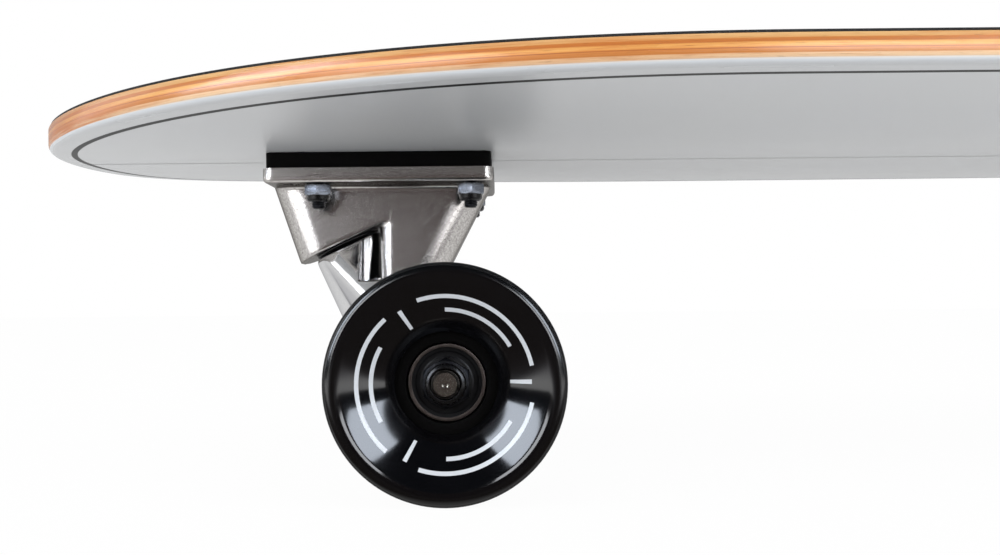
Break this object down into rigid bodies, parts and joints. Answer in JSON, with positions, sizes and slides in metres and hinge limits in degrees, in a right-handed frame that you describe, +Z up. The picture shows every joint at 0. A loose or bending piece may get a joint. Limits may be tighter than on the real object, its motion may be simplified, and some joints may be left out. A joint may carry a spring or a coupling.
{
  "type": "surfskate",
  "caption": "Surf-style skateboard: wide flat maple deck with a grey-painted underside, steep-axis polished trucks on riser pads, and glossy black wheels.",
  "frame": {"origin": "on the ground under the middle of the board, with all four wheels standing on it", "axes": "-X towards the nose, +X towards the tail, +Y towards the board's right side, +Z up"},
  "size_m": [0.813, 0.258, 0.1253],
  "materials": {
    "maple_deck": "clear-lacquered maple plies at the edge, light grey gloss paint underneath",
    "grip": "black abrasive grip sheet",
    "riser_rubber": "matte black riser rubber",
    "cast_aluminium": "tumbled casting, satin, with burnished edges",
    "polished_aluminium": "polished casting",
    "steel": "bare turned steel",
    "black_steel": "black zinc, satin",
    "bushing_urethane": "black urethane",
    "wheel_urethane": "glossy black urethane with fine pale markings on the outer face",
    "wheel_core": "matte black moulded core",
    "bearing_steel": "dark races with a black shield"
  },
  "bodies": {
    "board": {"deck": "maple_deck", "grip_tape": "grip", "front_bolt_1": "black_steel", "front_lock_nut_1": "black_steel", "front_bolt_2": "black_steel", "front_lock_nut_2": "black_steel", "front_bolt_3": "black_steel", "front_lock_nut_3": "black_steel", "front_bolt_4": "black_steel", "front_lock_nut_4": "black_steel", "front_riser": "riser_rubber", "front_baseplate": "cast_aluminium", "front_pivot_cup": "bushing_urethane", "front_kingpin": "steel", "front_kingpin_nut": "steel", "front_upper_washer": "black_steel", "front_upper_bushing": "bushing_urethane", "front_lower_bushing": "bushing_urethane", "front_lower_washer": "steel", "rear_bolt_1": "black_steel", "rear_lock_nut_1": "black_steel", "rear_bolt_2": "black_steel", "rear_lock_nut_2": "black_steel", "rear_bolt_3": "black_steel", "rear_lock_nut_3": "black_steel", "rear_bolt_4": "black_steel", "rear_lock_nut_4": "black_steel", "rear_riser": "riser_rubber", "rear_baseplate": "cast_aluminium", "rear_pivot_cup": "bushing_urethane", "rear_kingpin": "steel", "rear_kingpin_nut": "steel", "rear_upper_washer": "black_steel", "rear_upper_bushing": "bushing_urethane", "rear_lower_bushing": "bushing_urethane", "rear_lower_washer": "steel"},
    "front_hanger_assembly": {"front_hanger": "polished_aluminium", "front_axle": "steel", "front_left_axle_nut": "black_steel", "front_right_axle_nut": "black_steel"},
    "front_left_wheel": {"front_left_tyre": "wheel_urethane", "front_left_core": "wheel_core", "front_left_outer_bearing": "bearing_steel", "front_left_inner_bearing": "bearing_steel"},
    "front_right_wheel": {"front_right_tyre": "wheel_urethane", "front_right_core": "wheel_core", "front_right_outer_bearing": "bearing_steel", "front_right_inner_bearing": "bearing_steel"},
    "rear_hanger_assembly": {"rear_hanger": "polished_aluminium", "rear_axle": "steel", "rear_left_axle_nut": "black_steel", "rear_right_axle_nut": "black_steel"},
    "rear_left_wheel": {"rear_left_tyre": "wheel_urethane", "rear_left_core": "wheel_core", "rear_left_outer_bearing": "bearing_steel", "rear_left_inner_bearing": "bearing_steel"},
    "rear_right_wheel": {"rear_right_tyre": "wheel_urethane", "rear_right_core": "wheel_core", "rear_right_outer_bearing": "bearing_steel", "rear_right_inner_bearing": "bearing_steel"}
  },
  "joints": [
    {"name": "front_steering", "type": "hinge", "parent": "board", "child": "front_hanger_assembly", "pos_m": [-0.28553, 0, 0.04328], "axis": [-0.4147, 0, 0.91], "range_deg": [-20, 20], "stiffness_Nm_per_rad": 30, "deforming": ["front_upper_bushing", "front_lower_bushing"]},
    {"name": "front_left_wheel_spin", "type": "hinge", "parent": "front_hanger_assembly", "child": "front_left_wheel", "pos_m": [-0.2605, -0.088, 0.0335], "axis": [0, 1, 0], "continuous": true},
    {"name": "front_right_wheel_spin", "type": "hinge", "parent": "front_hanger_assembly", "child": "front_right_wheel", "pos_m": [-0.2605, 0.088, 0.0335], "axis": [0, 1, 0], "continuous": true},
    {"name": "rear_steering", "type": "hinge", "parent": "board", "child": "rear_hanger_assembly", "pos_m": [0.24453, 0, 0.04328], "axis": [0.4147, 0, 0.91], "range_deg": [-20, 20], "stiffness_Nm_per_rad": 30, "deforming": ["rear_upper_bushing", "rear_lower_bushing"]},
    {"name": "rear_left_wheel_spin", "type": "hinge", "parent": "rear_hanger_assembly", "child": "rear_left_wheel", "pos_m": [0.2195, -0.088, 0.0335], "axis": [0, 1, 0], "continuous": true},
    {"name": "rear_right_wheel_spin", "type": "hinge", "parent": "rear_hanger_assembly", "child": "rear_right_wheel", "pos_m": [0.2195, 0.088, 0.0335], "axis": [0, 1, 0], "continuous": true}
  ]
}
